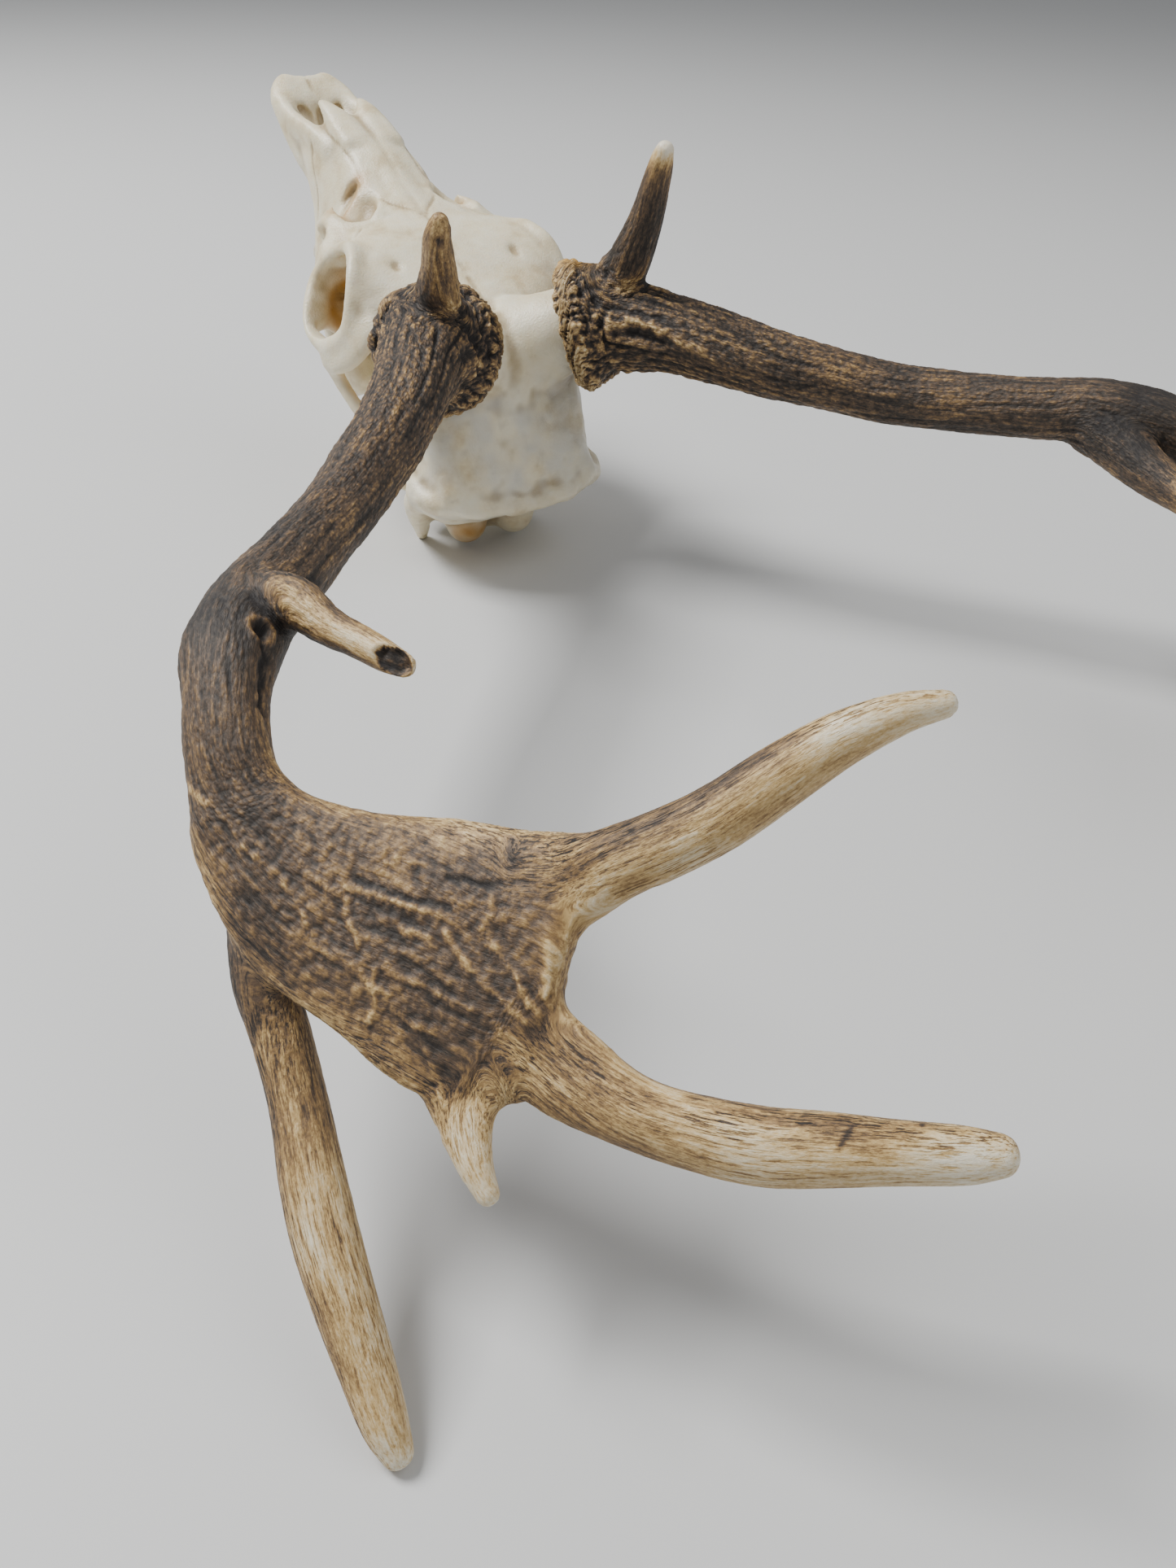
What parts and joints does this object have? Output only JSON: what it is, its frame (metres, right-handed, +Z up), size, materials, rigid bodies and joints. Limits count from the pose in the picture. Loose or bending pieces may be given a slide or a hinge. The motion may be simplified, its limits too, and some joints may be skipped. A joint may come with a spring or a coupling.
{
  "type": "fallow deer skull",
  "caption": "Bleached fallow deer skull with both palmate antlers, resting on the back of its head with the nose raised.",
  "frame": {"origin": "on the supporting surface, under the middle of the whole skull and antlers", "axes": "+Y towards the raised nose, along the longest extent; +X to the animal's right; +Z up"},
  "size_m": [0.4306, 0.5972, 0.1813],
  "materials": {
    "bone": "satin",
    "enamel": "satin",
    "antler": "matte",
    "tine": "satin"
  },
  "bodies": {
    "root": {"cranium": "bone", "left_beam": "antler", "left_brow_tine": "antler", "left_trez_tine": "tine", "left_palm": "antler", "left_top_tine": "tine", "left_middle_tine": "tine", "left_spur": "tine", "left_back_tine": "tine", "left_premolar_2": "enamel", "left_premolar_3": "enamel", "left_premolar_4": "enamel", "left_molar_1": "enamel", "left_molar_2": "enamel", "left_molar_3": "enamel", "right_beam": "antler", "right_brow_tine": "antler", "right_trez_tine": "tine", "right_palm": "antler", "right_top_tine": "tine", "right_middle_tine": "tine", "right_spur": "tine", "right_back_tine": "tine", "right_premolar_2": "enamel", "right_premolar_3": "enamel", "right_premolar_4": "enamel", "right_molar_1": "enamel", "right_molar_2": "enamel", "right_molar_3": "enamel"}
  },
  "joints": []
}
